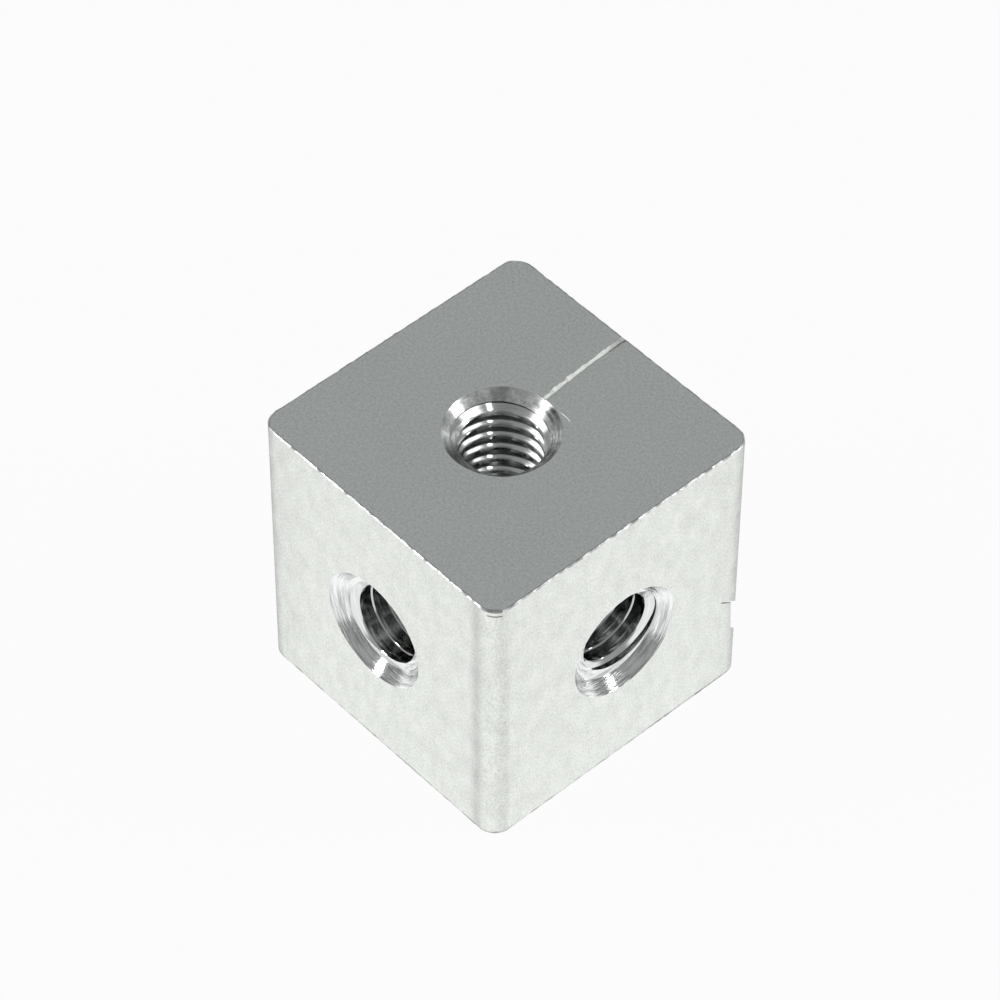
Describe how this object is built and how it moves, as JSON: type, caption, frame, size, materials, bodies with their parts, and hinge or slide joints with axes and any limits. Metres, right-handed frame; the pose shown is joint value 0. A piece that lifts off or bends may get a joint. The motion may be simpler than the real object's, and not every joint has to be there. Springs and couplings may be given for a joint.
{
  "type": "cube connector",
  "caption": "Small aluminium cube with rounded long edges and countersunk tapped holes crossing at its centre, for screwing frame members together at right angles.",
  "frame": {"origin": "centre of the block, where the axes of the tapped holes cross", "axes": "+Z along the bar's length, out of a sawn end; +X and +Y out of two neighbouring flats"},
  "size_m": [0.02, 0.02, 0.02],
  "materials": {
    "aluminium_block": "mill-finish extruded flats, satin sawn ends and bright machined holes"
  },
  "bodies": {
    "root": {"connector_block": "aluminium_block"}
  },
  "joints": []
}
